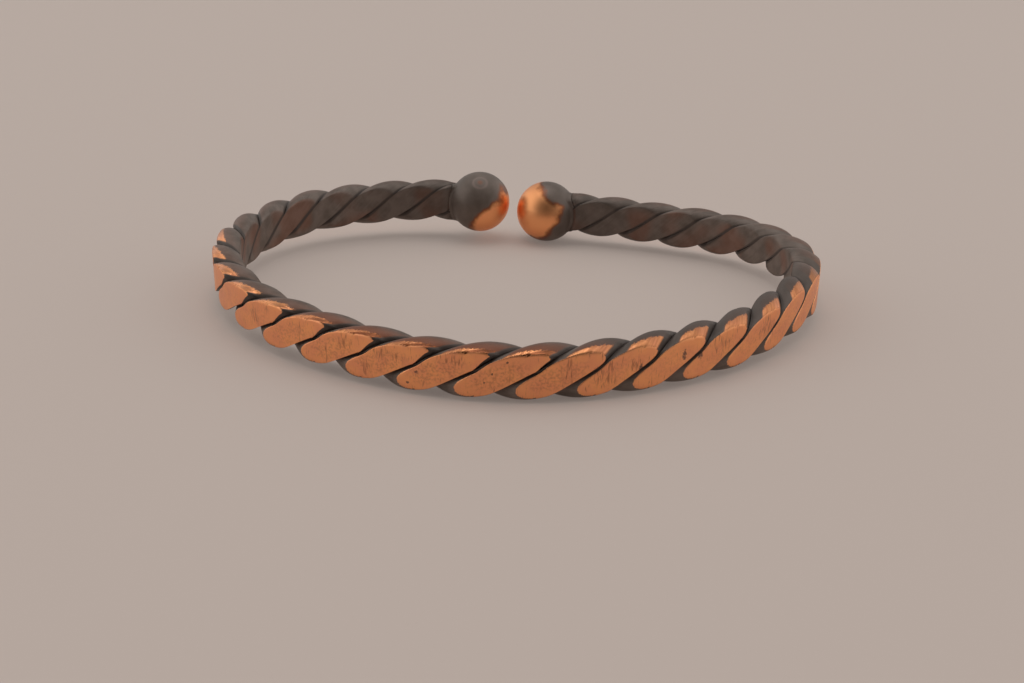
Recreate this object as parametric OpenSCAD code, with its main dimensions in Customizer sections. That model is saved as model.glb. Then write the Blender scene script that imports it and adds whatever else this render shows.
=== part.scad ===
// An open arm cuff of three thick copper strands twisted into one rope, with a ball on each end.
// It is shown lying on its side. Millimetres. +Z is up, X runs the long way across the wrist hollow,
// and the opening between the two balls faces +Y. The origin is below the middle of the cuff.

/* [Rope] */
// Length of the rope's centre line, from the middle of one ball to the middle of the other
rope_len = 159; // [158.5:0.1:159.5]
// Height of the rope over its strands
rope_height = 4.8; // [4.6:0.1:5]
// Distance of the outer flat from the rope's centre line
flat_out = 1.38; // [1.3:0.02:1.5]
// Distance of the inner flat from the rope's centre line
flat_in = 1.34; // [1.3:0.02:1.5]
// Distance of each strand's middle from the rope's centre line
strand_offset = 0.8; // [0.7:0.05:0.9]
// Rounding of the strands' edges beside each groove
groove_round = 0.28; // [0.2:0.02:0.32]
// Clearance between neighbouring strands
strand_gap = 0.12; // [0.1:0.01:0.14]
// How far the rolling turned the grooves down in the middle of the outer face, in degrees
drop = 6; // [0:1:8]
// Angle of the first strand round the rope, at the left ball
first_angle = -51.5; // [-60:0.5:-40]

/* [Balls] */
// Diameter of the ball on each end
ball_d = 7; // [6.8:0.1:7.2]
// Clearance between a ball and the strands that hold it
ball_gap = 0.1; // [0.1:0.01:0.15]
// Diameter of the round tenon on the rope's end, which the ball is pressed on
tenon_d = 2.6; // [2.4:0.1:2.8]
// How near the tenon comes to the middle of the ball
tenon_stop = 1.2; // [1:0.1:1.6]

/* [Detail] */
// Number of cross sections along each strand
sections = 118; // [90:1:120]

/* [Hidden] */

// The rope's form, in equal stretches from the left ball round the front to the right ball.
// Each row holds the stretch's bend in degrees, its lay, and how high the rope's underside
// lies above the floor where the stretch begins: the hand-bent cuff isn't quite level.
BEND = 0;
LAY = 1;
RISE = 2;
STRETCHES = [
    [37.5, 14.9, 2.00],
    [47.0, 15.6, 1.70],
    [36.0, 15.9, 1.20],
    [26.5, 16.1, 0.80],
    [19.5, 15.1, 0.40],
    [34.0, 14.7, 0.00],
    [23.5, 14.2, 0.00],
    [24.5, 14.7, 0.20],
    [44.5, 14.9, 0.85],
    [49.5, 14.4, 0.90],
    [12.0, 14.5, 0.80],
];

ball_r = ball_d / 2;
tenon_r = tenon_d / 2;
half_height = rope_height / 2;
lobe_r = half_height - strand_offset;
// The right ball rests on the floor
end_rise = ball_r - half_height;
// The rope is straight where it leaves each ball
lead = ball_r;
last = len(STRETCHES) - 1;
stretch = (rope_len - 2 * lead) / len(STRETCHES);
// Direction in which the rope leaves the left ball, in degrees from +X
left_aim = 172.2;
strand_pitch = 120;
half_strand = strand_pitch / 2;
// Distance of each strand's inner edge from the rope's centre line
tip_r = 0.2;
// Station of the first whole cross section, just clear of the ball, and of the twist at the ball
first_station = ball_r + ball_gap + 0.3;
ball_station = 0.9 * ball_r;
ball_facets = 96;

copper = "#b8704a";
dark_copper = "#7a5444";

function direction(aim) = [cos(aim), sin(aim)];
function outward(aim) = [sin(aim), -cos(aim)];
function clamped(value) = max(0, min(1, value));
function eased(t) = t * t * (3 - 2 * t);

// Move along an arc of the given length that turns by bend degrees
function chord(length, bend) = bend == 0 ? length : length * sin(bend / 2) / (bend / 2 * PI / 180);
function move(length, bend, aim) = chord(length, bend) * direction(aim + bend / 2);

// Place, aim and twist of the rope where each stretch begins, and where the last one ends
KNOTS = [
    for (
        i = 0, at = lead * direction(left_aim), aim = left_aim, twist = 360 * lead / STRETCHES[0][LAY];
        i <= last + 1;
        at = at + move(stretch, STRETCHES[min(i, last)][BEND], aim),
        aim = aim + STRETCHES[min(i, last)][BEND],
        twist = twist + 360 * stretch / STRETCHES[min(i, last)][LAY],
        i = i + 1
    ) [at, aim, twist]
];

function stretch_of(s) = max(0, min(last, floor((s - lead) / stretch)));

function raw_place(s) =
    let (
        i = stretch_of(s),
        along = s - lead - i * stretch,
        inside = max(0, min(stretch, along)),
        bend = STRETCHES[i][BEND] * inside / stretch
    )
    KNOTS[i][0] + move(inside, bend, KNOTS[i][1]) + (along - inside) * direction(KNOTS[i][1] + bend);

function aim_at(s) =
    let (i = stretch_of(s)) KNOTS[i][1] + STRETCHES[i][BEND] * clamped((s - lead) / stretch - i);

function twist_at(s) =
    let (i = stretch_of(s)) KNOTS[i][2] + 360 * (s - lead - i * stretch) / STRETCHES[i][LAY];

function rise_at(s) =
    let (
        i = stretch_of(s),
        t = eased(clamped((s - lead) / stretch - i)),
        next = i == last ? end_rise : STRETCHES[i + 1][RISE]
    )
    STRETCHES[i][RISE] * (1 - t) + next * t;

// The cuff is centred on the origin: its outer edge and the backs of its balls are its limits in plan
PLAN = concat(
    [for (s = [lead : 0.5 : rope_len - lead]) raw_place(s) + flat_out * outward(aim_at(s))],
    [for (s = [0, rope_len]) raw_place(s) + [0, ball_r]]
);
PLAN_X = [for (p = PLAN) p.x];
PLAN_Y = [for (p = PLAN) p.y];
middle = [min(PLAN_X) + max(PLAN_X), min(PLAN_Y) + max(PLAN_Y)] / 2;

function place(s) = raw_place(s) - middle;
function centre_height(s) = half_height + rise_at(s);

// Outer limit of a strand before it is flattened, at an angle from the strand's own middle
function lobe(angle) = strand_offset * cos(angle) + sqrt(lobe_r ^ 2 - (strand_offset * sin(angle)) ^ 2);

// Point on the rounded edge beside a groove, where q runs from 0 on the side face to 90 on the outer face
function edge_point(q) =
    let (
        inset = strand_gap / 2 + groove_round * (1 - cos(q)),
        angle = half_strand - asin(inset / lobe(half_strand))
    )
    [lobe(angle) - groove_round * (1 - sin(q)), angle];

// One strand's section, as radius and angle round the rope's centre line, from the strand's inner edge
EDGE = [for (q = [0, 45, 90]) edge_point(q)];
OUTER_ANGLES = [-33, -16.5, 0, 16.5, 33];
PROFILE = concat(
    [[tip_r, 0]],
    [for (p = EDGE) [p[0], -p[1]]],
    [for (angle = OUTER_ANGLES) [lobe(angle), angle]],
    [for (i = [len(EDGE) - 1 : -1 : 0]) EDGE[i]]
);
corners = len(PROFILE);

// Angle round the rope after the rolling, which turned the middle of the outer face down
function rolled(angle) = angle - drop * max(cos(angle), 0) ^ 2;

// The flats squash the rope along its radii, so that the grooves still show across them
function squash(angle_on_strand, angle) =
    min(1, (cos(angle) > 0 ? flat_out : flat_in) / max(0.001, lobe(angle_on_strand) * abs(cos(angle))));

// Section of a strand as outward and upward distances from the rope's centre line
function section(turn) = [
    for (p = PROFILE)
        let (angle = rolled(turn + p[1]), r = p[0] * squash(p[1], angle)) [r * cos(angle), r * sin(angle)]
];

function set_down(p, s, aim, along) =
    let (at = place(s) + p.x * outward(aim) + along * direction(aim)) [at.x, at.y, centre_height(s) + p.y];

function ring(turn, s) = [for (p = section(turn)) set_down(p, s, aim_at(s), 0)];

// A strand's share of the round tenon, in the same number of points as its section
function tenon_angle(angle) = min(abs(angle), half_strand - asin(strand_gap / 2 / tenon_r)) * sign(angle);
function tenon_section(turn) = [
    for (p = PROFILE)
        let (angle = turn + tenon_angle(p[1]), r = min(p[0], tenon_r)) [r * cos(angle), r * sin(angle)]
];

// Where a line along the rope, at the distances p from its centre line, meets a ball's gap
function reach(p) = sqrt((ball_r + ball_gap) ^ 2 - p.x ^ 2 - p.y ^ 2);

// Rings of a strand's end from inside the ball outwards: the tenon's end and root, and the shoulder
function end_rings(turn, s, side) = [
    [for (p = tenon_section(turn)) set_down(p, s, aim_at(s), side * tenon_stop)],
    [for (p = tenon_section(turn)) set_down(p, s, aim_at(s), side * reach(p))],
    [for (p = section(turn)) set_down(p, s, aim_at(s), side * reach(p))]
];
function reversed(rows) = [for (i = [len(rows) - 1 : -1 : 0]) rows[i]];

// A strand is one closed skin over its sections. Its two sides split their quadrilaterals opposite ways,
// so that the facing sides of neighbouring strands keep the same facets.
module strand(angle) {
    step = (rope_len - 2 * first_station) / (sections - 1);
    rings = concat(
        end_rings(angle + twist_at(ball_station), 0, 1),
        [for (i = [0 : sections - 1]) let (s = first_station + i * step) ring(angle + twist_at(s), s)],
        reversed(end_rings(angle + twist_at(rope_len - ball_station), rope_len, -1))
    );
    points = [for (r = rings) each r];
    count = len(rings);
    sides = [
        for (i = [0 : count - 2], j = [0 : corners - 1])
            let (
                a = i * corners + j,
                b = i * corners + (j + 1) % corners,
                c = b + corners,
                d = a + corners
            )
            each (j < len(EDGE) ? [[a, b, c], [a, c, d]] : [[a, b, d], [b, c, d]])
    ];
    start_cap = [for (j = [1 : corners - 2]) [0, j + 1, j]];
    end_row = (count - 1) * corners;
    end_cap = [for (j = [1 : corners - 2]) [end_row, end_row + j, end_row + j + 1]];
    polyhedron(points, concat(sides, start_cap, end_cap));
}

// A turned ball, drilled from the side that the rope comes in on
module ball(s, side) {
    at = place(s);
    translate([at.x, at.y, centre_height(s)])
        rotate([0, side * 90, aim_at(s)])
            rotate_extrude($fn = ball_facets)
                difference() {
                    circle(d = ball_d, $fn = ball_facets);
                    translate([-ball_d, -ball_d]) square([ball_d, 2 * ball_d]);
                    translate([0, tenon_stop - ball_gap]) square([tenon_r + ball_gap, ball_r]);
                }
}

module strand_a() { color(copper) strand(first_angle); }
module strand_b() { color(copper) strand(first_angle + strand_pitch); }
module strand_c() { color(copper) strand(first_angle + 2 * strand_pitch); }
module ball_left() { color(dark_copper) ball(0, 1); }
module ball_right() { color(copper) ball(rope_len, -1); }

strand_a();
strand_b();
strand_c();
ball_left();
ball_right();
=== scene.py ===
"""An open arm cuff of three twisted copper strands with a ball on each end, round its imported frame."""

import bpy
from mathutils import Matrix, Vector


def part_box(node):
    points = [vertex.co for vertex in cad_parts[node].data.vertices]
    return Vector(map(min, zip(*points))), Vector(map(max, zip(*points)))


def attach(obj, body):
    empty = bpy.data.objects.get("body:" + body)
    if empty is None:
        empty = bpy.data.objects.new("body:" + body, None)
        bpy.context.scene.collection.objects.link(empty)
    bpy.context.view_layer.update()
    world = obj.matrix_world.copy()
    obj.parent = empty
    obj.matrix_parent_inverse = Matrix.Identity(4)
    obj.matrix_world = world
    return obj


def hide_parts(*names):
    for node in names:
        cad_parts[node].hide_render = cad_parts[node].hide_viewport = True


bl_info = {
    "name": "Twisted Copper Cuff",
    "version": (1, 0, 0),
    "blender": (4, 5, 0),
    "location": "3D View > Sidebar > Cuff",
    "description": "Builds a twisted copper cuff with ball ends, its finishes and a plain studio",
    "category": "Add Mesh",
}

from functools import partial

import bpy
import numpy as np
from bpy.props import FloatProperty, FloatVectorProperty, IntProperty, PointerProperty
from mathutils import Matrix, Vector

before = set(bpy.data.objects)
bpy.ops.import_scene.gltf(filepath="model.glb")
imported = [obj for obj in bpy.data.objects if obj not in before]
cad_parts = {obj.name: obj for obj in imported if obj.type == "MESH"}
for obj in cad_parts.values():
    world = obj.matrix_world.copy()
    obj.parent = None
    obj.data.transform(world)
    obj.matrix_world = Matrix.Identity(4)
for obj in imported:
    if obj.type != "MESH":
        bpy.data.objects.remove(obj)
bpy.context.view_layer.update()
BALL_BOXES = [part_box("ball_left"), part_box("ball_right")]
MM = 0.001

# The rope's form in equal stretches from the left ball round the front to the right ball: its bend in
# degrees, its lay, and how high its underside lies above the floor where the stretch begins, in mm.
STRETCHES = [
    (37.5, 14.9, 2.00),
    (47.0, 15.6, 1.70),
    (36.0, 15.9, 1.20),
    (26.5, 16.1, 0.80),
    (19.5, 15.1, 0.40),
    (34.0, 14.7, 0.00),
    (23.5, 14.2, 0.00),
    (24.5, 14.7, 0.20),
    (44.5, 14.9, 0.85),
    (49.5, 14.4, 0.90),
    (12.0, 14.5, 0.80),
]
ROPE_LENGTH = 159 * MM
LEFT_AIM = np.radians(172.2)
FIRST_ANGLE = np.radians(-51.5)
STRAND_PITCH = np.radians(120)
STRANDS = ("strand_a", "strand_b", "strand_c")
# Distance of a strand's inner edge from the rope's centre line
TIP_R = 0.2 * MM
# Points of a strand's section: up each flank, round its lower edge, over its face and round its upper edge
FLANK_POINTS, LOWER_POINTS, FACE_POINTS, UPPER_POINTS = 4, 13, 31, 33
# A rope's end inside a ball keeps the twist that it has at this part of the ball's radius
TWIST_AT = 0.9
# How far a ball's fillet is tucked under the rope's surface
LIP_TUCK = 0.03 * MM
# Setting of a Map Range that starts and ends gently
EASED = {"interpolation_type": "SMOOTHSTEP"}


def srgb(code):
    """A hex colour as linear red, green and blue."""
    parts = [int(code[i:i + 2], 16) / 255 for i in (1, 3, 5)]
    return tuple(c / 12.92 if c <= 0.04045 else ((c + 0.055) / 1.055) ** 2.4 for c in parts)


def node(tree, kind, links=(), operation=None, **settings):
    """Adds a node with its settings, and links its inputs or sets them, in order or by name.

    A kind without a prefix is a shader node's. A Map Range in order is its value and what becomes 0 and 1.
    """
    made = tree.nodes.new(kind if kind.startswith(("GeometryNode", "NodeGroup")) else "ShaderNode" + kind)
    if operation:
        made.operation = operation
    for key, value in settings.items():
        setattr(made, key, value)
    sockets = {socket.name: socket for socket in made.inputs if socket.enabled}
    if not isinstance(links, dict):
        sockets, links = made.inputs, dict(enumerate(links))
    for key, value in links.items():
        if isinstance(value, bpy.types.Node):
            value = next(socket for socket in value.outputs if socket.enabled)
        if isinstance(value, bpy.types.NodeSocket):
            tree.links.new(value, sockets[key])
        else:
            sockets[key].default_value = value
    return made


class CuffRopeSettings(bpy.types.PropertyGroup):
    """Sizes of the twisted rope."""

    height: FloatProperty(
        name="Rope Height", description="Height of the rope over its strands", default=4.8 * MM,
        unit="LENGTH")
    outer_flat: FloatProperty(
        name="Outer Flat", description="Distance of the outer flat from the rope's centre line",
        default=1.376 * MM, unit="LENGTH")
    inner_flat: FloatProperty(
        name="Inner Flat", description="Distance of the inner flat from the rope's centre line",
        default=1.34 * MM, unit="LENGTH")
    strand_offset: FloatProperty(
        name="Strand Offset", description="Distance of a strand's middle from the rope's centre line",
        default=0.8 * MM, unit="LENGTH")
    upper_round: FloatProperty(
        name="Upper Rounding", description="Width of the round edge that faces up on the outer face",
        default=1.7 * MM, unit="LENGTH")
    upper_depth: FloatProperty(
        name="Upper Depth", description="Depth of the round edge that faces up on the outer face",
        default=1.5 * MM, unit="LENGTH")
    lower_round: FloatProperty(
        name="Lower Rounding", description="Width of the round edge that faces down on the outer face",
        default=0.8 * MM, unit="LENGTH")
    lower_depth: FloatProperty(
        name="Lower Depth", description="Depth of the round edge that faces down on the outer face",
        default=1.0 * MM, unit="LENGTH")
    groove_floor: FloatProperty(
        name="Groove Floor", description="Depth at which the wide grooves of the outer face end",
        default=0.8 * MM, unit="LENGTH")
    squeezed: FloatProperty(
        name="Squeezed Edge",
        description="How far the rolling squeezed the lower edge out, high on the outer face",
        default=0.48 * MM, unit="LENGTH")
    worn_edge: FloatProperty(
        name="Worn Edge", description="How far the lower edges are worn down on the cuff's right side",
        default=0.2 * MM, unit="LENGTH")
    lean: FloatProperty(
        name="Strand Lean", description="How far each strand's crown leans over its lower edge",
        default=np.radians(4), unit="ROTATION")
    drop: FloatProperty(
        name="Groove Drop",
        description="How far the rolling turned the grooves down in the middle of the outer face",
        default=np.radians(6), unit="ROTATION")
    upper_groove: FloatProperty(
        name="Upper Groove", description="Depth of the grooves on the crests, as a part of the outer ones",
        default=0.22, min=0, max=1)
    inner_groove: FloatProperty(
        name="Inner Groove",
        description="Depth of the grooves on the inner face, as a part of the outer ones", default=0.35,
        min=0, max=1)
    strand_gap: FloatProperty(
        name="Strand Gap", description="Clearance between neighbouring strands", default=0.06 * MM,
        unit="LENGTH")
    edge_soft: FloatProperty(
        name="Flat Edge Softness", description="How gently a flat runs into the round of its strand",
        default=0.1 * MM, unit="LENGTH")
    ring_step: FloatProperty(
        name="Section Spacing", description="Distance between cross sections", default=0.17 * MM,
        unit="LENGTH")
    dent_depth: FloatProperty(
        name="Dent Depth", description="Depth of the hammer and roller marks", default=0.02 * MM,
        unit="LENGTH")
    dent_size: FloatProperty(
        name="Dent Size", description="Width of the hammer and roller marks", default=1.6 * MM, unit="LENGTH")


class CuffBallSettings(bpy.types.PropertyGroup):
    """Sizes of the balls."""

    tenon: FloatProperty(
        name="Tenon Diameter", description="Diameter of the rope's end inside the ball", default=2.6 * MM,
        unit="LENGTH")
    tenon_stop: FloatProperty(
        name="Tenon Stop", description="How near the tenon comes to the middle of the ball", default=1.2 * MM,
        unit="LENGTH")
    gap: FloatProperty(
        name="Ball Gap", description="Clearance between a ball and the rope", default=0.06 * MM,
        unit="LENGTH")
    fillet: FloatProperty(
        name="Fillet", description="Size of the fillet where a ball is fused to the rope", default=0.35 * MM,
        unit="LENGTH")
    segments: IntProperty(name="Ball Segments", description="Faces round a ball", default=128, min=24)


class CuffFinishSettings(bpy.types.PropertyGroup):
    """Colours of the metal."""

    polished: FloatVectorProperty(
        name="Polished Copper", description="Copper where it is polished bright", subtype="COLOR",
        default=srgb("#FFB078"))
    rosy: FloatVectorProperty(
        name="Rosy Copper", description="Copper where the polish has a redder cast", subtype="COLOR",
        default=srgb("#F2A07A"))
    brown: FloatVectorProperty(
        name="Brown Copper", description="Copper under a thin brown oxide", subtype="COLOR",
        default=srgb("#8A4F33"))
    patina: FloatVectorProperty(
        name="Patina", description="Dark oxide over the copper", subtype="COLOR", default=srgb("#65584F"))
    pale_patina: FloatVectorProperty(
        name="Pale Patina", description="Dark oxide where it is rubbed thin", subtype="COLOR",
        default=srgb("#7E6F66"))
    # Also used for painted shade on the crests on the right and on the balls next to the rope
    groove: FloatVectorProperty(
        name="Groove", description="Oxide and dirt deep in the grooves", subtype="COLOR",
        default=srgb("#4C403A"))


class CuffStageSettings(bpy.types.PropertyGroup):
    """The floor, the light and the camera."""

    floor: FloatVectorProperty(
        name="Floor", description="Matt pale floor", subtype="COLOR", default=srgb("#B3A59D"))
    glow: FloatProperty(
        name="Floor Glow", description="Light that comes through the floor's paper", default=0.32, min=0)
    top_light: FloatProperty(
        name="Top Light", description="Power of the round softbox overhead", default=1.9, unit="POWER")
    tent: FloatProperty(
        name="Tent", description="Brightness of the white tent all round", default=0.42, min=0)
    sides: FloatProperty(
        name="Tent Sides", description="How much brighter the tent is on its left and right", default=1.3,
        min=0)
    opening: FloatProperty(
        name="Opening", description="Brightness of the dark room through the tent's opening", default=0.06,
        min=0)


def setting(name):
    return getattr(bpy.context.scene, name)


def eased(t):
    t = min(max(t, 0), 1)
    return t * t * (3 - 2 * t)


def rope_stations():
    """The rope's centre line as a function of the distance from the left ball, on the frame's arcs."""
    ball_r = (BALL_BOXES[0][1][2] - BALL_BOXES[0][0][2]) / 2
    half_height = setting("cuff_rope").height / 2
    # The bore cuts into the ball's box on the rope's side, so its middle comes from the whole corner
    start = Vector(BALL_BOXES[0][1]) - Vector((ball_r, ball_r, ball_r))
    step = (ROPE_LENGTH - 2 * ball_r) / len(STRETCHES)
    rises = [row[2] * MM for row in STRETCHES] + [ball_r - half_height]
    knots = []
    x, y, aim = start.x + ball_r * np.cos(LEFT_AIM), start.y + ball_r * np.sin(LEFT_AIM), LEFT_AIM
    twist = 2 * np.pi * ball_r / (STRETCHES[0][1] * MM)

    def move(length, bend, aim):
        chord = length * np.sinc(bend / 2 / np.pi)
        return chord * np.cos(aim + bend / 2), chord * np.sin(aim + bend / 2)

    for bend, lay, _ in STRETCHES:
        knots.append((x, y, aim, twist))
        dx, dy = move(step, np.radians(bend), aim)
        x, y, aim, twist = x + dx, y + dy, aim + np.radians(bend), twist + 2 * np.pi * step / (lay * MM)

    def station(s):
        """Centre, aim and twist at a distance along the rope."""
        i = int(min(max((s - ball_r) // step, 0), len(STRETCHES) - 1))
        along = s - ball_r - i * step
        inside = min(max(along, 0), step)
        bend, lay = np.radians(STRETCHES[i][0]) * inside / step, STRETCHES[i][1] * MM
        kx, ky, kaim, ktwist = knots[i]
        dx, dy = move(inside, bend, kaim)
        aim = kaim + bend
        t = eased(along / step)
        z = half_height + rises[i] * (1 - t) + rises[i + 1] * t
        centre = (kx + dx + (along - inside) * np.cos(aim), ky + dy + (along - inside) * np.sin(aim), z)
        return centre, aim, ktwist + 2 * np.pi * along / lay

    return station, ball_r


def lobe(angle):
    """Outer limit of a strand before it is flattened, at an angle from the strand's own middle."""
    rope = setting("cuff_rope")
    angle = angle + rope.lean
    offset, strand_r = rope.strand_offset, rope.height / 2 - rope.strand_offset
    return offset * np.cos(angle) + np.sqrt(strand_r ** 2 - (offset * np.sin(angle)) ** 2)


def edge_points(side, width, depth, count):
    """Up one side of a strand's section: angle, radius, outer limit, and 1 on the skin or 0 on the flank."""
    rope = setting("cuff_rope")
    half = STRAND_PITCH / 2
    rim = lobe(side * half)
    edge = []
    for q in np.radians(np.linspace(0, 90, count)):
        inset = rope.strand_gap / 2 + width * (1 - np.cos(q))
        angle = side * (half - np.arcsin(inset / rim))
        sunk = min(depth * (1 - np.sin(q)), rope.groove_floor)
        edge.append((angle, lobe(angle) - sunk, lobe(angle), 1))
    side_angle, side_r = edge[0][:2]
    flank = []
    for t in np.linspace(0, 1, FLANK_POINTS + 2)[1:-1]:
        x = (1 - t) * TIP_R + t * side_r * np.cos(side_angle)
        y = t * side_r * np.sin(side_angle)
        flank.append((np.arctan2(y, x), np.hypot(x, y), lobe(side_angle), 0))
    return flank + edge


def section_points():
    """One strand's closed section round the rope's centre line, in the rows of edge_points."""
    rope = setting("cuff_rope")
    lower = edge_points(-1, rope.lower_round, rope.lower_depth, LOWER_POINTS)
    upper = edge_points(1, rope.upper_round, rope.upper_depth, UPPER_POINTS)
    between = np.linspace(lower[-1][0], upper[-1][0], FACE_POINTS + 2)[1:-1]
    face = [(a, lobe(a), lobe(a), 1) for a in between]
    return [(0, TIP_R, lobe(0), 0)] + lower + face + upper[::-1]


def plain_mesh(name, points, edges, faces, columns):
    """A mesh object with a named column of numbers or vectors for each attribute."""
    mesh = bpy.data.meshes.new(name)
    mesh.from_pydata(points, edges, faces)
    for key, values in columns.items():
        values = np.asarray(values, dtype=np.float32)
        kind, field = ("FLOAT_VECTOR", "vector") if values.ndim == 2 else ("FLOAT", "value")
        mesh.attributes.new(key, kind, "POINT").data.foreach_set(field, values.ravel())
    made = bpy.data.objects.new(name, mesh)
    bpy.context.scene.collection.objects.link(made)
    return made


# What the sweep reads of the centre line and of the section, which isn't kept on the finished strand
LINE_COLUMNS = ("centre", "outward", "ahead", "twist", "neck", "side", "station")
SECTION_COLUMNS = ("angle", "reach", "lobe", "skin")


def profile_object():
    """The closed outline of a strand's section, with what the sweep reads at each of its points."""
    rows = section_points()
    points = [(row[1] * np.cos(row[0]), row[1] * np.sin(row[0]), 0) for row in rows]
    count = len(points)
    edges = [(i, (i + 1) % count) for i in range(count)]
    return plain_mesh("strand_profile", points, edges, [], dict(zip(SECTION_COLUMNS, zip(*rows))))


def line_object():
    """The rope's centre line, with its directions, its twist and how each end meets its ball."""
    balls = setting("cuff_balls")
    station, ball_r = rope_stations()
    # The first whole section lies just clear of the ball
    first = ball_r + balls.gap + 0.3 * MM
    count = int((ROPE_LENGTH - 2 * first) / setting("cuff_rope").ring_step)
    free = 1.0
    root = balls.tenon / 2
    turned_at = TWIST_AT * ball_r
    # Each row holds a station, the station that its twist is taken from, its largest radius, and 1 or -1
    # where it lies on the ball's face instead of square across the rope.
    rows = [(balls.tenon_stop, turned_at, root, 0), (0, turned_at, root, 1), (0, turned_at, free, 1)]
    rows += [(s, s, free, 0) for s in np.linspace(first, ROPE_LENGTH - first, count)]
    rows += [(ROPE_LENGTH - s, ROPE_LENGTH - turned, limit, -side) for s, turned, limit, side in rows[2::-1]]
    table = []
    for s, turned, limit, side in rows:
        centre, aim, _ = station(s)
        outward, ahead = (np.sin(aim), -np.cos(aim), 0), (np.cos(aim), np.sin(aim), 0)
        table.append((centre, outward, ahead, station(turned)[2], limit, side, s))
    points = [(i * MM, 0, 0) for i in range(len(rows))]
    edges = [(i, i + 1) for i in range(len(rows) - 1)]
    return plain_mesh("rope_line", points, edges, [], dict(zip(LINE_COLUMNS, zip(*table))))


# Sizes that the sweep takes from the rope's settings: the name of its input, and of the setting
ROPE_INPUTS = {
    "Drop": "drop", "Outer Flat": "outer_flat", "Inner Flat": "inner_flat", "Edge Softness": "edge_soft",
    "Upper Groove": "upper_groove", "Inner Groove": "inner_groove", "Squeezed Edge": "squeezed",
    "Worn Edge": "worn_edge", "Dent Depth": "dent_depth", "Dent Size": "dent_size",
}


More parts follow.
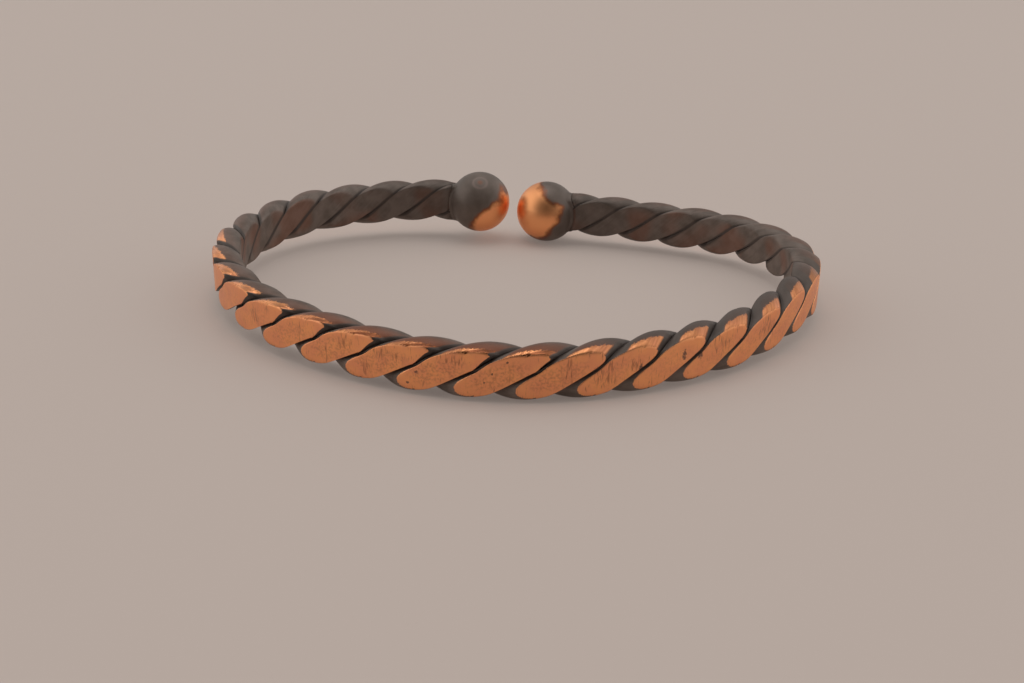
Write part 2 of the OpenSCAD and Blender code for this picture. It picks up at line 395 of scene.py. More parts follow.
def strand_tree():
    """Sweeps a strand's section along the rope, twisted with its lay and flattened inside and out."""
    tree = bpy.data.node_groups.new("Twisted Strand", "GeometryNodeTree")
    inputs = {"Geometry": "Geometry", "Profile": "Object", "Finish": "Material"}
    inputs.update(dict.fromkeys((*ROPE_INPUTS, "Turn", "Rope Length", "Ball Reach", "Seed"), "Float"))
    for name, kind in inputs.items():
        tree.interface.new_socket(name, in_out="INPUT", socket_type="NodeSocket" + kind)
    tree.interface.new_socket("Geometry", in_out="OUTPUT", socket_type="NodeSocketGeometry")
    add = partial(node, tree)
    given = add("NodeGroupInput").outputs
    read = {}
    for name in LINE_COLUMNS + SECTION_COLUMNS:
        kind = "FLOAT_VECTOR" if name in ("centre", "outward", "ahead") else "FLOAT"
        read[name] = add("GeometryNodeInputNamedAttribute", {"Name": name}, data_type=kind)

    line = add("GeometryNodeMeshToCurve", {"Mesh": given["Geometry"]})
    outline = add("GeometryNodeObjectInfo", {"Object": given["Profile"]})
    ring = add("GeometryNodeMeshToCurve", {"Mesh": outline.outputs["Geometry"]})
    shape = add("GeometryNodeCurveToMesh", {"Curve": line, "Profile Curve": ring, "Fill Caps": True})

    # Angle round the rope, turned down by the rolling in the middle of the outer face
    turned = add("Math", (read["twist"], given["Turn"]))
    free_angle = add("Math", (turned, read["angle"]))
    faced = add("Math", (free_angle,), "COSINE")
    faced = add("Math", (faced, 0.0), "MAXIMUM")
    faced = add("Math", (faced, 2.0), "POWER")
    drop = add("Math", (faced, given["Drop"]), "MULTIPLY")
    angle = add("Math", (free_angle, drop), "SUBTRACT")
    across = add("Math", (angle,), "COSINE")
    up = add("Math", (angle,), "SINE")

    # Grooves are deepest low on the outer face and shallower on the crests and the inner face. They run out
    # where the rope is fused to a ball.
    upper_part = add("MapRange", {
        "Value": up, "From Min": 0.05, "From Max": 0.8, "To Min": 1.0, "To Max": given["Upper Groove"]},
        **EASED)
    inner_part = add("MapRange", {
        "Value": across, "From Min": -0.5, "From Max": 0.3, "To Min": given["Inner Groove"], "To Max": 1.0},
        **EASED)
    other_end = add("Math", (given["Rope Length"], read["station"]), "SUBTRACT")
    from_end = add("Math", (read["station"], other_end), "MINIMUM")
    end_part = add("MapRange", {
        "Value": from_end, "From Min": 3.3 * MM, "From Max": 6.0 * MM, "To Min": 0.05, "To Max": 1.0},
        **EASED)
    recess = add("Math", (read["lobe"], read["reach"]), "SUBTRACT")
    spared = add("Math", (upper_part, inner_part), "MULTIPLY")
    spared = add("Math", (spared, end_part), "MULTIPLY")
    spared = add("Math", (1.0, spared), "SUBTRACT")
    spared = add("Math", (spared, recess), "MULTIPLY")

    # High on the outer face the rolling squeezed each strand's lower edge out, but not on the right
    squeezed = add("MapRange", {
        "Value": read["angle"], "From Min": np.radians(-8), "From Max": np.radians(-57),
        "To Max": given["Squeezed Edge"]}, **EASED)
    high = add("MapRange", (up, 0.0, 0.62), **EASED)
    under_crest = add("MapRange", (up, 0.97, 0.84), **EASED)
    outside = add("Math", (across, 0.0), "GREATER_THAN")
    from_left = add("MapRange", (read["station"], 30 * MM, 54 * MM), **EASED)
    on_right = add("MapRange", (read["station"], 80 * MM, 92 * MM), **EASED)
    before_right = add("Math", (1.0, on_right), "SUBTRACT")
    for part in (high, under_crest, outside, from_left, before_right):
        squeezed = add("Math", (squeezed, part), "MULTIPLY")
    # On the right the lower edges are worn round instead
    rounded = add("MapRange", {
        "Value": read["angle"], "From Min": np.radians(-36), "From Max": np.radians(-60),
        "To Max": given["Worn Edge"]}, **EASED)
    rounded = add("Math", (rounded, on_right), "MULTIPLY")
    rounded = add("Math", (rounded, outside), "MULTIPLY")
    moved_out = add("Math", (spared, squeezed))
    moved_out = add("Math", (moved_out, rounded), "SUBTRACT")
    moved_out = add("Math", (moved_out, read["skin"]), "MULTIPLY")
    reach = add("Math", (read["reach"], moved_out))

    # Place in the straightened rope: along it, up, and outwards, where the two flats cut the round strand
    flat = add("GeometryNodeSwitch", {
        "Switch": outside, "False": given["Inner Flat"], "True": given["Outer Flat"]}, input_type="FLOAT")
    away = add("Math", (across,), "ABSOLUTE")
    face = add("Math", (across,), "SIGN")
    place_out = add("Math", (reach, away), "MULTIPLY")
    place_out = add("Math", (place_out, flat), "MINIMUM")
    place_out = add("Math", (place_out, face), "MULTIPLY")
    place_up = add("Math", (reach, up), "MULTIPLY")
    place = add("CombineXYZ", (read["station"], place_up, place_out))

    # Shallow dents of the hammer and the rollers, never above the plain surface
    seeded = add("VectorMath", (place, given["Seed"]))
    per_metre = add("Math", (1.0, given["Dent Size"]), "DIVIDE")
    dents = add("TexNoise", {"Vector": seeded, "Scale": per_metre, "Detail": 1.0})
    depth = add("Math", (given["Dent Depth"], dents.outputs[0]), "MULTIPLY")
    depth = add("Math", (depth, read["skin"]), "MULTIPLY")
    radius = add("Math", (reach, depth), "SUBTRACT")
    radius = add("Math", (radius, read["neck"]), "MINIMUM")
    level = add("Math", (flat, depth), "SUBTRACT")
    out = add("Math", (radius, away), "MULTIPLY")
    out = add("Math", (out, level, given["Edge Softness"]), "SMOOTH_MIN")
    out = add("Math", (out, face), "MULTIPLY")
    height = add("Math", (radius, up), "MULTIPLY")

    # The ends of a strand lie on the ball's face
    middle = add("CombineXYZ", (out, height, 0.0))
    middle = add("VectorMath", (middle, middle), "DOT_PRODUCT")
    seat = add("Math", (given["Ball Reach"], 2.0), "POWER")
    seat = add("Math", (seat, middle), "SUBTRACT")
    seat = add("Math", (seat,), "SQRT")
    along = add("Math", (seat, read["side"]), "MULTIPLY")
    moved = add("VectorMath", (read["outward"], out, read["centre"]), "MULTIPLY_ADD")
    moved = add("VectorMath", (read["ahead"], along, moved), "MULTIPLY_ADD")
    lift = add("CombineXYZ", (0.0, 0.0, height))
    moved = add("VectorMath", (moved, lift))

    # Kept for the finish: the place in the straightened rope, how far the outer flat cuts into the round
    # strand, and the distance from the groove with its side, plus above and minus below.
    cut = add("Math", (read["lobe"], across), "MULTIPLY")
    cut = add("Math", (cut, given["Outer Flat"]), "SUBTRACT")
    side = add("Math", (read["angle"],), "ABSOLUTE")
    side = add("Math", (STRAND_PITCH / 2, side), "SUBTRACT")
    side = add("Math", (side,), "SINE")
    side = add("Math", (side, read["reach"]), "MULTIPLY")
    kept = {
        "rope_place": ("FLOAT_VECTOR", place),
        "cut_out": ("FLOAT", cut),
        "from_groove": ("FLOAT", side),
        "strand_side": ("FLOAT", read["angle"]),
    }
    for name, (kind, value) in kept.items():
        shape = add("GeometryNodeStoreNamedAttribute", {
            "Geometry": shape, "Name": name, "Value": value}, data_type=kind, domain="POINT")

    shape = add("GeometryNodeSetPosition", {"Geometry": shape, "Position": moved})
    # The rings at a tenon's root share their inner points, and the sweep leaves the faces turned inwards
    shape = add("GeometryNodeMergeByDistance", {"Geometry": shape, "Distance": 0.0001 * MM})
    shape = add("GeometryNodeFlipFaces", {"Mesh": shape})
    shape = add("GeometryNodeSetShadeSmooth", {"Geometry": shape})
    shape = add("GeometryNodeRealizeInstances", {"Geometry": shape})
    shape = add("GeometryNodeSetMaterial", {"Geometry": shape, "Material": given["Finish"]})
    add("NodeGroupOutput", {"Geometry": shape})
    return tree


def baked_by_nodes(name, source, tree, values):
    """Runs a node tree on a source object, and gives the result as a plain mesh object."""
    carrier = bpy.data.objects.new(name + "_carrier", source.data)
    bpy.context.scene.collection.objects.link(carrier)
    modifier = carrier.modifiers.new("Build", "NODES")
    modifier.node_group = tree
    sockets = {item.name: item.identifier for item in tree.interface.items_tree if item.in_out == "INPUT"}
    for key, value in values.items():
        modifier[sockets[key]] = value
    bpy.context.view_layer.update()
    mesh = bpy.data.meshes.new_from_object(carrier.evaluated_get(bpy.context.evaluated_depsgraph_get()))
    mesh.name = name
    carrier.modifiers.remove(modifier)
    bpy.data.objects.remove(carrier)
    for key in LINE_COLUMNS + SECTION_COLUMNS:
        if key in mesh.attributes:
            mesh.attributes.remove(mesh.attributes[key])
    made = bpy.data.objects.new(name, mesh)
    bpy.context.scene.collection.objects.link(made)
    return made


# The balls: name, station, side that the rope leaves on, the direction and the cosine of the half angle of
# the polished cap, and a place where the cap reaches further (+) or less far (-), as direction and amount.
BALLS = [
    ("ball_left", 0, 1, (0.78, -0.11, -0.62), 0.33, (-0.2, -0.9, -0.35), 0.24),
    ("ball_right", ROPE_LENGTH, -1, (-0.77, -0.59, 0.24), 0.22, (0.12, -0.5, 0.86), -0.45),
]
# Direction from the left ball's middle to the painted reflection on its top, a faint ring
RING_REFLECTION = (0.02, -0.58, 0.81)


def rope_outline(at):
    """The rope's outline at a station: angle from outwards to up, and distance from the centre line."""
    rope = setting("cuff_rope")
    _, _, twist = rope_stations()[0](at)
    round_angle = np.radians(np.arange(0, 360, 1.5))
    local = (round_angle - twist - FIRST_ANGLE + STRAND_PITCH / 2) % STRAND_PITCH - STRAND_PITCH / 2
    angle = round_angle - rope.drop * np.maximum(np.cos(round_angle), 0) ** 2
    out = np.clip(lobe(local) * np.cos(angle), -rope.inner_flat, rope.outer_flat)
    up = lobe(local) * np.sin(angle)
    polar = np.unwrap(np.arctan2(up, out))
    return polar, np.hypot(out, up)


def ball_object(name, at, side, cap, spread, spot, amount):
    """A ball drilled for the tenon, whose surface runs out over the rope in a small fillet."""
    balls = setting("cuff_balls")
    station, ball_r = rope_stations()
    # Just inside the frame's faceted ball
    ball_r -= 0.005 * MM
    centre, aim, _ = station(at)
    centre = Vector(centre)
    ahead = Vector((np.cos(aim), np.sin(aim), 0)) * side
    outward = Vector((np.sin(aim), -np.cos(aim), 0))
    upward = Vector((0, 0, 1))
    polar, reach = rope_outline(at + side * TWIST_AT * ball_r)
    bore_r = balls.tenon / 2 + balls.gap
    bore_end = balls.tenon_stop - balls.gap
    fillet = balls.fillet
    rings = 72
    columns = []
    for turn in np.linspace(0, 2 * np.pi, balls.segments, endpoint=False):
        rope_r = np.interp(turn, polar, reach, period=2 * np.pi) - LIP_TUCK
        corner = np.sqrt(ball_r ** 2 - rope_r ** 2)
        meets = rope_r + fillet
        line = []
        for i in range(1, rings + 1):
            from_pole = (np.pi - np.arcsin(meets / ball_r)) * i / rings
            line.append((ball_r * np.sin(from_pole), -ball_r * np.cos(from_pole)))
        # The fillet reaches a little further along the rope than over the ball
        first, last = line[-1], (rope_r, corner + 1.3 * fillet)
        for t in np.linspace(0, 1, 7)[1:]:
            line.append(tuple((1 - t) ** 2 * a + 2 * t * (1 - t) * b + t * t * c
                              for a, b, c in zip(first, (rope_r, corner), last)))
        for r in (rope_r - fillet / 2, bore_r):
            line.append((r, np.sqrt(ball_r ** 2 - r ** 2)))
        line.append((bore_r, bore_end))
        across = outward * np.cos(turn) + upward * np.sin(turn)
        columns.append([centre + ahead * along + across * r for r, along in line])
    count = len(columns[0])
    points = [p for column in columns for p in column]
    points += [centre - ahead * ball_r, centre + ahead * bore_end]
    pole, floor = len(points) - 2, len(points) - 1
    faces = []
    for i in range(balls.segments):
        here, there = i * count, (i + 1) % balls.segments * count
        faces.append((pole, there, here))
        faces += [(here + j, there + j, there + j + 1, here + j + 1) for j in range(count - 1)]
        faces.append((here + count - 1, there + count - 1, floor))
    if side > 0:
        faces = [face[::-1] for face in faces]
    cap, spot = Vector(cap).normalized(), Vector(spot).normalized()
    towards = [(p - centre).normalized() for p in points]
    reflection_at = Vector(RING_REFLECTION) * max(side, 0)
    # Cosines at which the cap's spot begins, and at which the shade beside the rope begins and is full
    spot_from, shade_from, shade_full = 0.75, 0.35, 0.75
    spots = [eased((t.dot(spot) - spot_from) / (1 - spot_from)) for t in towards]
    columns = {
        "copper_cap": [t.dot(cap) - spread + amount * near for t, near in zip(towards, spots)],
        "near_rope": [eased((t.dot(ahead) - shade_from) / (shade_full - shade_from)) for t in towards],
        "ring_mark": [(t - reflection_at).length for t in towards],
    }
    made = plain_mesh(name, points, [], faces, columns)
    made.data.shade_smooth()
    return made


# Marks on the outer face, in mm: station along the rope, height, half length, half height, and whether the
# mark is hatching (0) or a solid pit or blotch (1).
MARKS = [
    (54.9, 0.4, 0.9, 1.6, 0),
    (56.7, 1.6, 0.5, 0.8, 0),
    (61.1, 0.7, 0.8, 1.0, 0),
    (64.0, -1.0, 0.6, 1.2, 0),
    (65.9, 0.9, 1.2, 0.9, 0),
    (68.5, -1.1, 0.7, 1.3, 0),
    (70.3, 0.8, 1.6, 1.2, 0),
    (73.0, -0.3, 0.35, 0.3, 1),
    (72.2, -1.4, 0.25, 0.25, 1),
    (76.0, 1.2, 1.5, 0.9, 0),
    (80.4, 1.3, 0.2, 0.2, 1),
    (79.2, 0.2, 0.2, 0.2, 1),
    (78.6, -0.6, 0.2, 0.15, 1),
    (85.3, 0.7, 1.0, 1.7, 0),
    (88.2, 0.0, 1.3, 1.8, 0),
    (90.9, 0.4, 0.9, 0.8, 0),
    (91.3, 0.1, 0.3, 0.7, 1),
    (95.4, 0.5, 0.35, 0.8, 1),
    (97.0, 0.1, 0.5, 0.6, 1),
    (99.0, 0.6, 1.4, 1.6, 0),
    (105.0, 0.6, 1.4, 1.4, 0),
]


def blank_material(name):
    material = bpy.data.materials.new(name)
    material.use_nodes = True
    material.node_tree.nodes.clear()
    return material, material.node_tree


def end_metal(add, colour, bright, rough, relief):
    """Joins a finish's parts: full metal where it is bright and less so under oxide, with its relief."""
    bump = add("Bump", {"Height": relief, "Strength": 1.0, "Distance": 1.0})
    metallic = add("MapRange", {"Value": bright, "To Min": 0.3, "To Max": 1.0})
    metal = add("BsdfPrincipled", {
        "Base Color": colour, "Metallic": metallic, "Roughness": rough, "Normal": bump})
    add("OutputMaterial", {"Surface": metal})


def strand_copper():
    """Drawn copper wire, twisted, rolled flat and oxidised, then polished back on its outer face.

    The eye sees bright satin copper on the flats and glossier, scuffed copper on the worn shoulders above
    them. Scratches and pits keep the dark oxide, and so do the crests and the inner face. It is nearly black
    in the grooves. Next to the flats a brown band is painted as a dark reflection, and the crests on the
    right are darkened as painted shade.
    """
    finish = setting("cuff_finish")
    rope = setting("cuff_rope")
    material, tree = blank_material("Antiqued copper, rolled and polished")
    add = partial(node, tree)
    place = add("Attribute", attribute_name="rope_place").outputs["Vector"]
    cut = add("Attribute", attribute_name="cut_out").outputs["Fac"]
    groove = add("Attribute", attribute_name="from_groove").outputs["Fac"]
    side = add("Attribute", attribute_name="strand_side").outputs["Fac"]
    station, height, out = add("SeparateXYZ", (place,)).outputs

    # Patterns: grain, short upright strokes of the polishing, lengthwise scuffs and broad clouds. The real
    # grain and strokes are too fine to show, so they are drawn 0.16 mm and 0.13 mm wide.
    grain = add("TexNoise", {"Vector": place, "Scale": 1 / (0.16 * MM), "Detail": 3.0})
    upright = add("Mapping", {
        "Vector": place, "Rotation": (np.radians(12), 0, 0),
        "Scale": (1 / (0.13 * MM), 1 / (0.9 * MM), 1 / (0.9 * MM))})
    strokes = add("TexNoise", {"Vector": upright, "Scale": 1.0, "Detail": 2.0, "Distortion": 0.4})
    # The scuffs follow each strand, 2 mm long and 0.16 mm wide on its round of 1.6 mm radius
    strandwise = add("CombineXYZ", (station, side, out))
    strandwise = add("Mapping", {"Vector": strandwise, "Scale": (1 / (2.0 * MM), 1.6 / 0.16, 1 / (3.0 * MM))})
    scuffs = add("TexNoise", {"Vector": strandwise, "Scale": 1.0, "Detail": 3.0})
    clouds = add("TexNoise", {"Vector": place, "Scale": 1 / (1.6 * MM), "Detail": 3.0})
    broad = add("TexNoise", {"Vector": place, "Scale": 1 / (4.5 * MM), "Detail": 1.0})

    # How far the surface lies below the outer flat and below the inner flat
    below = add("Math", (rope.outer_flat, out), "SUBTRACT")
    below_inner = add("Math", (rope.inner_flat, out))

    # Polished flats, with an edge that the grain roughens
    ragged = add("Math", (grain, 0.08 * MM, -0.04 * MM), "MULTIPLY_ADD")
    flat_gap = add("Math", (below, ragged))
    on_flat = add("MapRange", (flat_gap, 0.055 * MM, 0.03 * MM), **EASED)

    # Worn shoulders: widest towards a strand's lower edge, most so on the left, and ragged along the scuffs
    climb = add("MapRange", {
        "Value": station, "From Min": 50 * MM, "From Max": 64 * MM, "To Min": -0.8 * MM,
        "To Max": -0.35 * MM})
    on_right = add("MapRange", (station, 82 * MM, 92 * MM), **EASED)
    not_left = add("MapRange", {
        "Value": station, "From Min": 55 * MM, "From Max": 67 * MM, "To Min": 0.3}, **EASED)
    level = add("Math", (on_right, 0.32 * MM, 0.45 * MM), "MULTIPLY_ADD")
    climb = add("Math", (side, climb, level), "MULTIPLY_ADD")
    shaggy = add("Math", (scuffs, 0.5 * MM, -0.25 * MM), "MULTIPLY_ADD")
    climb = add("Math", (climb, shaggy))
    speckled = add("Math", (grain, 0.6 * MM, -0.3 * MM), "MULTIPLY_ADD")
    climb = add("Math", (climb, speckled))
    climb = add("Math", (climb, below), "SUBTRACT")
    worn = add("MapRange", (climb, -0.08 * MM, 0.08 * MM), **EASED)
    above = add("MapRange", (height, 0.6 * MM, 1.2 * MM), **EASED)
    # The wear stays further from the groove on a strand's upper side, which sits lower
    margin = add("MapRange", {
        "Value": side, "From Min": -0.2, "From Max": 0.2, "To Min": 0.2 * MM, "To Max": 0.8 * MM})
    margin = add("Math", (on_right, 0.3 * MM, margin), "MULTIPLY_ADD")
    clear = add("Math", (groove, margin), "SUBTRACT")
    clear = add("Math", (clear, ragged))
    clear = add("MapRange", (clear, -0.1 * MM, 0.15 * MM), **EASED)
    outer_part = add("MapRange", (station, 122 * MM, 112 * MM), **EASED)
    left_part = add("MapRange", (station, 33 * MM, 38 * MM), **EASED)
    for part in (above, clear, outer_part, left_part):
        worn = add("Math", (worn, part), "MULTIPLY")
    bright = add("Math", (on_flat, worn), "MAXIMUM")

    # Hatching and pits at the places of the real ones
    hatched = pitted = 0.0
    for at, up, half_length, half_height, solid in MARKS:
        spot = add("Mapping", {
            "Vector": place, "Location": (at * MM, up * MM, rope.outer_flat),
            "Scale": (half_length * MM, half_height * MM, 0.6 * MM)}, vector_type="TEXTURE")
        spot = add("TexGradient", (spot,), gradient_type="SPHERICAL").outputs["Fac"]
        if solid:
            pitted = add("Math", (pitted, spot))
        else:
            hatched = add("Math", (hatched, spot))
    hatched = add("MapRange", {"Value": hatched, "From Max": 0.7, "To Max": 0.17})
    hatched = add("Math", (hatched, strokes))
    hatched = add("MapRange", {"Value": hatched, "From Min": 0.58, "From Max": 0.84, "To Max": 0.65}, **EASED)
    pitted = add("MapRange", {"Value": pitted, "From Max": 0.7, "To Max": 0.5})
    pitted = add("Math", (pitted, grain))
    pitted = add("MapRange", {"Value": pitted, "From Min": 0.78, "From Max": 1.02, "To Max": 0.75}, **EASED)
    # The old skin of the wire shows as soft mottling where the flat is widest, least on the left
    stipple = add("TexNoise", {"Vector": place, "Scale": 1 / (0.22 * MM), "Detail": 1.0})
    wide = add("MapRange", (cut, 0.45 * MM, 0.85 * MM), **EASED)
    mottling = add("MapRange", {
        "Value": station, "From Min": 52 * MM, "From Max": 64 * MM, "To Min": 0.1, "To Max": 0.36})
    mottling = add("Math", (on_right, -0.2, mottling), "MULTIPLY_ADD")
    mottling = add("Math", (mottling, wide), "MULTIPLY")
    mottled = add("MapRange", (stipple, 0.35, 0.8), **EASED)
    mottled = add("Math", (mottled, mottling), "MULTIPLY")
    marks = add("Math", (hatched, pitted), "MAXIMUM")
    marks = add("Math", (marks, on_flat), "MULTIPLY")
    dirt = add("Math", (marks, mottled), "MAXIMUM")
    kept_bright = add("Math", (1.0, dirt), "SUBTRACT")

    # Colours: oxide in clouds and streaks, reddish on the front crests and faintly so on the inner face
    oxide = add("Math", (scuffs, 0.3, clouds), "MULTIPLY_ADD")
    oxide = add("MapRange", (oxide, 0.5, 0.8))
    oxide = add("Mix", {
        "Factor": oxide, "A": (*finish.patina, 1), "B": (*finish.pale_patina, 1)}, data_type="RGBA")
    faint = add("MapRange", (broad, 0.48, 0.66), **EASED)
    near_inner = add("MapRange", {
        "Value": below_inner, "From Min": 0.25 * MM, "From Max": 0.02 * MM, "To Max": 0.4})
    faint = add("Math", (faint, near_inner), "MULTIPLY")
    reddened = add("MapRange", {
        "Value": climb, "From Min": -2.0 * MM, "From Max": 0.0, "To Max": 0.9}, **EASED)
    in_front = add("Math", (on_right, -0.7, not_left), "MULTIPLY_ADD")
    for part in (clear, above, in_front):
        reddened = add("Math", (reddened, part), "MULTIPLY")
    faint = add("Math", (faint, reddened), "MAXIMUM")
    oxide = add("Mix", {"Factor": faint, "A": oxide, "B": (*finish.brown, 1)}, data_type="RGBA")
    tone = add("MapRange", {"Value": clouds, "From Min": 0.35, "From Max": 0.65, "To Max": 0.6})
    copper = add("Mix", {
        "Factor": tone, "A": (*finish.polished, 1), "B": (*finish.rosy, 1)}, data_type="RGBA")
    not_flat = add("Math", (1.0, on_flat), "SUBTRACT")
    rubbed_least = add("Math", (on_right, 0.2, 0.15), "MULTIPLY_ADD")
    rubbed_most = add("Math", (on_right, -0.2, 0.75), "MULTIPLY_ADD")
    rubbed_and_dark_reflection = add("MapRange", {
        "Value": scuffs, "From Min": 0.35, "From Max": 0.65, "To Min": rubbed_least, "To Max": rubbed_most})
    # Painted dark reflection: next to the flat the shoulder is coloured brown, widest at a strand's lower
    # edge and least on the right, in place of the dark surroundings mirrored there
    dark_reflection = add("Math", (side, -1.0 * MM, 0.08 * MM), "MULTIPLY_ADD")
    dark_reflection = add("Math", (dark_reflection, below), "SUBTRACT")
    dark_reflection = add("Math", (dark_reflection, ragged))
    dark_reflection_most = add("Math", (on_right, -0.8, 0.9), "MULTIPLY_ADD")
    dark_reflection = add("MapRange", {
        "Value": dark_reflection, "From Min": -0.04 * MM, "From Max": 0.04 * MM, "To Max": dark_reflection_most})
    # Joins the rubbed brown with the painted dark reflection
    rubbed_and_dark_reflection = add("Math", (rubbed_and_dark_reflection, dark_reflection), "MAXIMUM")
    rubbed_and_dark_reflection = add("Math", (rubbed_and_dark_reflection, not_left), "MULTIPLY")
    rubbed_and_dark_reflection = add("Math", (rubbed_and_dark_reflection, not_flat), "MULTIPLY")
    browned_and_dark_reflection = add("Math", (dirt, rubbed_and_dark_reflection), "MAXIMUM")
    copper = add("Mix", {"Factor": browned_and_dark_reflection, "A": copper, "B": (*finish.brown, 1)}, data_type="RGBA")
    blackened = add("Math", (pitted, 0.8), "MULTIPLY")
    copper = add("Mix", {"Factor": blackened, "A": copper, "B": (*finish.patina, 1)}, data_type="RGBA")
    skin = add("Mix", {"Factor": bright, "A": oxide, "B": copper}, data_type="RGBA")
    deep_and_shade = add("Math", (groove, ragged))
    deep_and_shade = add("MapRange", (deep_and_shade, 0.34 * MM, 0.08 * MM), **EASED)
    deep_and_shade = add("Math", (deep_and_shade, not_flat), "MULTIPLY")
    # The oxide is darkest next to the balls
    from_middle = add("Math", (station, ROPE_LENGTH / 2), "SUBTRACT")
    from_middle = add("Math", (from_middle,), "ABSOLUTE")
    at_ball = add("MapRange", {
        "Value": from_middle, "From Min": 64 * MM, "From Max": 74 * MM, "To Max": 0.25})
    deep_and_shade = add("Math", (deep_and_shade, at_ball), "MAXIMUM")
    not_bright = add("Math", (1.0, bright), "SUBTRACT")
    # Painted shade: on the right the crests, where they are not bright, are darkened towards the groove
    # colour
    right_crest_shade = on_right
    for part in (0.6, above, outer_part, not_bright):
        right_crest_shade = add("Math", (right_crest_shade, part), "MULTIPLY")
    deep_and_shade = add("Math", (deep_and_shade, right_crest_shade), "MAXIMUM")
    # The groove colour covers the groove oxide, the darker oxide next to the balls and the painted shade on
    # the right crests
    colour = add("Mix", {"Factor": deep_and_shade, "A": skin, "B": (*finish.groove, 1)}, data_type="RGBA")

    # Gloss: satin on the flats, glossier on the worn shoulders except on the right, dull on the oxide
    shoulder_rough = add("Math", (on_right, 0.14, 0.2), "MULTIPLY_ADD")
    shoulder_rough = add("Math", (scuffs, 0.16, shoulder_rough), "MULTIPLY_ADD")
    flat_rough = add("MapRange", {"Value": grain, "To Min": 0.34, "To Max": 0.5})
    copper_rough = add("Mix", {"Factor": on_flat, "A": shoulder_rough, "B": flat_rough})
    oxide_rough = add("MapRange", {"Value": clouds, "To Min": 0.42, "To Max": 0.6})
    bright_left = add("Math", (bright, kept_bright), "MULTIPLY")
    rough = add("Mix", {"Factor": bright_left, "A": oxide_rough, "B": copper_rough})

    # Relief in metres: strokes and pits cut in, scuffs on the worn crests, and a fine grain everywhere
    marks_relief = add("Math", (marks, -0.02 * MM), "MULTIPLY")
    scuff_part = add("MapRange", {
        "Value": below, "From Min": 0.3 * MM, "From Max": 0.5 * MM, "To Min": 0.004 * MM,
        "To Max": 0.05 * MM})
    not_aside = add("Math", (not_left, on_right), "SUBTRACT")
    for part in (worn, not_aside, scuffs):
        scuff_part = add("Math", (scuff_part, part), "MULTIPLY")
    crest = add("Math", (above, clear), "MULTIPLY")
    crest = add("Math", (crest, not_flat), "MULTIPLY")
    grain_part = add("MapRange", {"Value": crest, "To Min": 0.008 * MM, "To Max": 0.024 * MM})
    relief = add("Math", (grain, grain_part, scuff_part), "MULTIPLY_ADD")
    relief = add("Math", (relief, marks_relief))
    end_metal(add, colour, bright_left, rough, relief)
    return material


def ball_copper():
    """Copper balls fused to the rope, oxidised, then polished back on the sides that face each other.

    The eye sees a smooth satin copper cap with a cloudy edge in a grey-brown oxide, which is painted darker
    next to the rope as shade, and on top of the left ball a painted reflection: a faint ring with a reddish
    middle.
    """
    finish = setting("cuff_finish")
    material, tree = blank_material("Polished copper ball with oxide")
    add = partial(node, tree)
    coordinates = add("TexCoord").outputs["Object"]
    cap = add("Attribute", attribute_name="copper_cap").outputs["Fac"]
    neck = add("Attribute", attribute_name="near_rope").outputs["Fac"]
    reflection_at = add("Attribute", attribute_name="ring_mark").outputs["Fac"]
    # The satin's grain is too fine to show, so it is drawn 0.3 mm wide
    grain = add("TexNoise", {"Vector": coordinates, "Scale": 1 / (0.3 * MM), "Detail": 3.0})
    clouds = add("TexNoise", {"Vector": coordinates, "Scale": 1 / (2.2 * MM), "Detail": 4.0})

    wave = add("Math", (clouds, 0.8, -0.4), "MULTIPLY_ADD")
    edge = add("Math", (cap, wave))
    bright = add("MapRange", (edge, -0.1, 0.12), **EASED)
    half_bright = add("MapRange", (edge, 0.02, 0.3), **EASED)

    oxide = add("MapRange", (clouds, 0.3, 0.7))
    oxide = add("Mix", {
        "Factor": oxide, "A": (*finish.patina, 1), "B": (*finish.pale_patina, 1)}, data_type="RGBA")
    # Painted reflection on top of the left ball: a pale ring with a reddish middle
    ring = add("MapRange", (reflection_at, 0.15, 0.23), **EASED)
    ring_edge = add("MapRange", {"Value": reflection_at, "From Min": 0.30, "From Max": 0.23, "To Max": 0.22}, **EASED)
    ring = add("Math", (ring, ring_edge), "MULTIPLY")
    oxide = add("Mix", {"Factor": ring, "A": oxide, "B": (*srgb("#B59A92"), 1)}, data_type="RGBA")
    spot = add("MapRange", {"Value": reflection_at, "From Min": 0.14, "From Max": 0.02, "To Max": 0.6}, **EASED)
    oxide = add("Mix", {"Factor": spot, "A": oxide, "B": (*finish.brown, 1)}, data_type="RGBA")
    # Painted shade: next to the rope the oxide is darkened towards the groove colour
    neck = add("Math", (neck, 0.3), "MULTIPLY")
    oxide = add("Mix", {"Factor": neck, "A": oxide, "B": (*finish.groove, 1)}, data_type="RGBA")
    copper = add("Mix", {
        "Factor": half_bright, "A": (*finish.brown, 1), "B": (*finish.polished, 1)}, data_type="RGBA")
    colour = add("Mix", {"Factor": bright, "A": oxide, "B": copper}, data_type="RGBA")
    dull = add("MapRange", {"Value": clouds, "To Min": 0.4, "To Max": 0.56})
    satin = add("MapRange", {"Value": grain, "To Min": 0.34, "To Max": 0.46})
    rough = add("Mix", {"Factor": bright, "A": dull, "B": satin})
    relief = add("Math", (grain, 0.003 * MM), "MULTIPLY")
    end_metal(add, colour, bright, rough, relief)
    return material


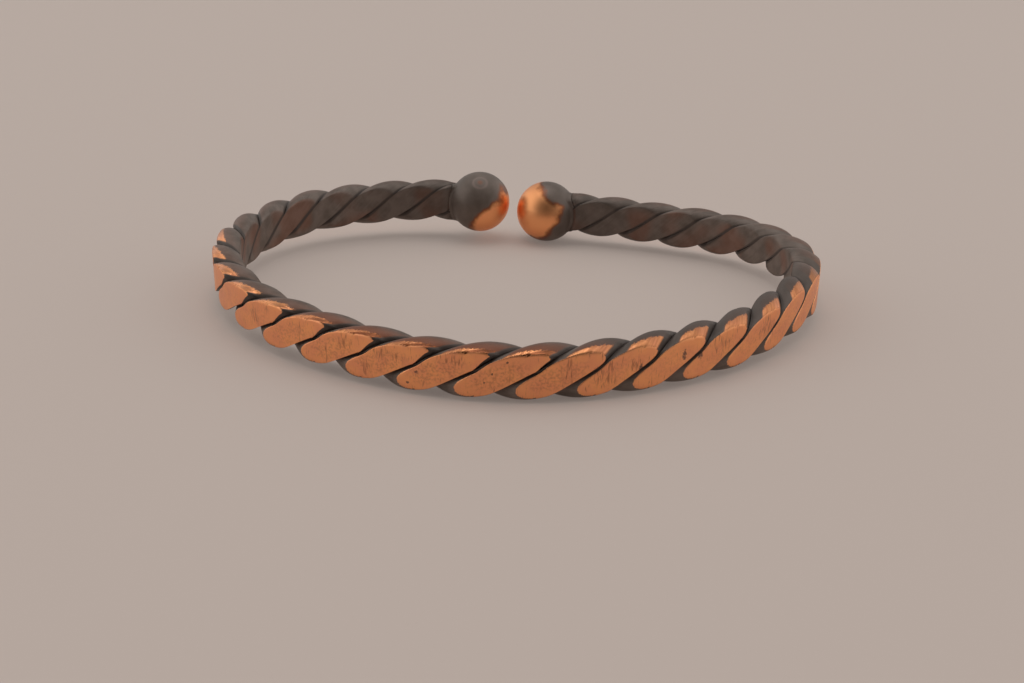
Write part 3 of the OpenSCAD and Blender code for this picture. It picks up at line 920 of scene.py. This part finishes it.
class CUFF_OT_strands(bpy.types.Operator):
    """Builds the three twisted strands from ball to ball"""

    bl_idname = "cuff.strands"
    bl_label = "Build Strands"

    def execute(self, context):
        rope = setting("cuff_rope")
        balls = setting("cuff_balls")
        line, profile, tree, finish = line_object(), profile_object(), strand_tree(), strand_copper()
        _, ball_r = rope_stations()
        for i, name in enumerate(STRANDS):
            strand = baked_by_nodes(name + "_metal", line, tree, {
                **{key: getattr(rope, value) for key, value in ROPE_INPUTS.items()},
                "Profile": profile, "Turn": FIRST_ANGLE + i * STRAND_PITCH, "Rope Length": ROPE_LENGTH,
                "Ball Reach": ball_r + balls.gap, "Seed": float(i), "Finish": finish,
            })
            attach(strand, "root")
            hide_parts(name)
        for helper in (line, profile):
            bpy.data.objects.remove(helper)
        return {"FINISHED"}


class CUFF_OT_balls(bpy.types.Operator):
    """Builds the two drilled balls"""

    bl_idname = "cuff.balls"
    bl_label = "Build Balls"

    def execute(self, context):
        finish = ball_copper()
        for name, *row in BALLS:
            ball = ball_object(name + "_metal", *row)
            ball.data.materials.append(finish)
            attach(ball, "root")
            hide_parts(name)
        return {"FINISHED"}


class CUFF_OT_stage(bpy.types.Operator):
    """Sets up the floor, the soft light and the camera"""

    bl_idname = "cuff.stage"
    bl_label = "Build Stage"

    def execute(self, context):
        scene = context.scene
        stage = setting("cuff_stage")
        scene.view_settings.view_transform = "Standard"
        half = 1.5
        corners = [(-half, -half, 0), (half, -half, 0), (half, half, 0), (-half, half, 0)]
        floor = plain_mesh("floor", corners, [], [(0, 1, 2, 3)], {})
        # The glow of the light table under the paper keeps the cuff's shadows faint
        paper, tree = blank_material("Matt pale paper on a light table")
        add = partial(node, tree)
        matt = add("BsdfPrincipled", {
            "Base Color": (*stage.floor, 1), "Roughness": 0.85, "Emission Color": (*stage.floor, 1),
            "Emission Strength": stage.glow})
        add("OutputMaterial", {"Surface": matt})
        floor.data.materials.append(paper)

        light = bpy.data.lights.new("top softbox", "AREA")
        light.energy, light.shape, light.size = stage.top_light, "DISK", 0.8
        softbox = bpy.data.objects.new("top softbox", light)
        softbox.location = (0, 0.16, 1.0)
        softbox.rotation_euler = (-softbox.location).to_track_quat("-Z", "Y").to_euler()
        scene.collection.objects.link(softbox)
        world = bpy.data.worlds.new("White tent with a dark opening")
        scene.world = world
        world.use_nodes = True
        world.node_tree.nodes.clear()
        add = partial(node, world.node_tree)
        direction = add("TexCoord").outputs["Generated"]
        # The opening is wider than it is tall
        opening_at = Vector((0, -0.86, 0.51))
        dark_half, edge_half = np.radians(14), np.radians(52)
        facing = add("VectorMath", (direction, (0.6, 1, 1)), "MULTIPLY")
        facing = add("VectorMath", (facing,), "NORMALIZE")
        facing = add("VectorMath", (facing, opening_at), "DOT_PRODUCT")
        wall = add("MapRange", {
            "Value": facing, "From Min": np.cos(dark_half), "From Max": np.cos(edge_half),
            "To Min": stage.opening, "To Max": stage.tent}, **EASED)
        # Two lamps behind the tent's side walls make them brighter
        sideways = add("SeparateXYZ", (direction,))
        sideways = add("Math", (sideways, sideways), "MULTIPLY")
        sideways = add("MapRange", (sideways, 0.0, 0.55), **EASED)
        sideways = add("Math", (sideways, stage.sides, 1.0), "MULTIPLY_ADD")
        strength = add("Math", (wall, sideways), "MULTIPLY")
        sky = add("Background", {"Color": (1, 0.98, 0.95, 1), "Strength": strength})
        add("OutputWorld", {"Surface": sky})

        camera = bpy.data.objects.new("camera", bpy.data.cameras.new("camera"))
        # The photograph is 1024 pixels wide, and its focal length measures 1200 of them
        camera.data.sensor_width = 36
        camera.data.lens = 1200 / 1024 * camera.data.sensor_width
        pitch, roll = 0.3802, 0.0126
        turned = Matrix.Rotation(np.pi / 2 - pitch, 3, "X") @ Matrix.Rotation(roll, 3, "Z")
        camera.rotation_euler = turned.to_euler()
        camera.location = (-0.045 * MM, -116.19 * MM, 41.82 * MM)
        camera.data.clip_start = 0.01
        scene.collection.objects.link(camera)
        scene.camera = camera
        return {"FINISHED"}


class CUFF_PT_panel(bpy.types.Panel):
    """Lists the cuff's building steps"""

    bl_label = "Twisted Cuff"
    bl_idname = "CUFF_PT_panel"
    bl_space_type = "VIEW_3D"
    bl_region_type = "UI"
    bl_category = "Cuff"

    def draw(self, context):
        for group in GROUPS:
            box = self.layout.box()
            for key in GROUPS[group].__annotations__:
                box.prop(getattr(context.scene, group), key)
        for operator in OPERATORS:
            self.layout.operator(operator.bl_idname)


GROUPS = {
    "cuff_rope": CuffRopeSettings,
    "cuff_balls": CuffBallSettings,
    "cuff_finish": CuffFinishSettings,
    "cuff_stage": CuffStageSettings,
}
OPERATORS = (CUFF_OT_stage, CUFF_OT_strands, CUFF_OT_balls)
CLASSES = (*GROUPS.values(), *OPERATORS, CUFF_PT_panel)


def register():
    for item in CLASSES:
        bpy.utils.register_class(item)
    for name, group in GROUPS.items():
        setattr(bpy.types.Scene, name, PointerProperty(type=group))


def unregister():
    for name in GROUPS:
        delattr(bpy.types.Scene, name)
    for item in reversed(CLASSES):
        bpy.utils.unregister_class(item)


def main():
    register()
    bpy.ops.cuff.stage()
    bpy.ops.cuff.strands()
    bpy.ops.cuff.balls()


if __name__ == "__main__":
    main()
